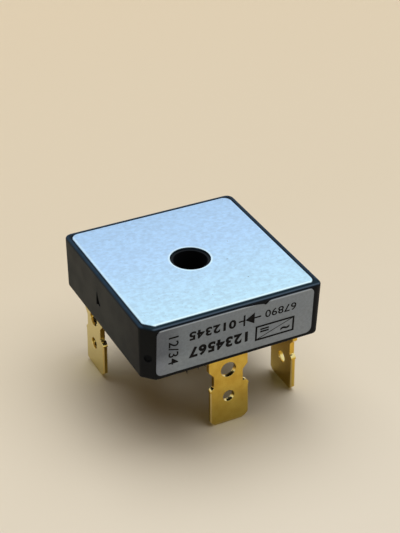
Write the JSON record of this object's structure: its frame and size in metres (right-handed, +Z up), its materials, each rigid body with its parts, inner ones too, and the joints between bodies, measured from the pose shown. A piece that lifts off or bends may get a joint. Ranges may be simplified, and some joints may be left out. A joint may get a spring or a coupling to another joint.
{
  "type": "bridge rectifier",
  "caption": "Square potted rectifier module with a metal base plate, a central screw bore, a side label and blade terminals.",
  "frame": {"origin": "on the floor under the centre of the case, at the height of the blade tips", "axes": "+Z up through the screw bore, out of the base plate; the label faces -Y; the cut corner is at -X -Y"},
  "size_m": [0.0286, 0.0287, 0.0213],
  "materials": {
    "moulded_case": "fine moulded texture",
    "plate_metal": "brushed",
    "label_foil": "satin grey foil with dark print",
    "label_ink": "matt print",
    "blade_metal": "bright plated",
    "wafer_ceramic": "matt",
    "copper": "plain copper sheet",
    "chip": "dark silicon",
    "resin": "cast resin"
  },
  "bodies": {
    "root": {"case_shell": "moulded_case", "base_plate": "plate_metal", "side_label": "label_foil", "terminal_negative": "blade_metal", "terminal_positive": "blade_metal", "terminal_ac_1": "blade_metal", "terminal_ac_2": "blade_metal", "terminal_ac_3": "blade_metal", "ceramic_wafer": "wafer_ceramic", "negative_bus": "copper", "positive_bus": "copper", "diode_chip_1": "chip", "diode_chip_2": "chip", "diode_chip_3": "chip", "diode_chip_4": "chip", "diode_chip_5": "chip", "diode_chip_6": "chip", "ac_link_1": "copper", "ac_link_2": "copper", "ac_link_3": "copper", "potting_resin": "resin"}
  },
  "joints": []
}
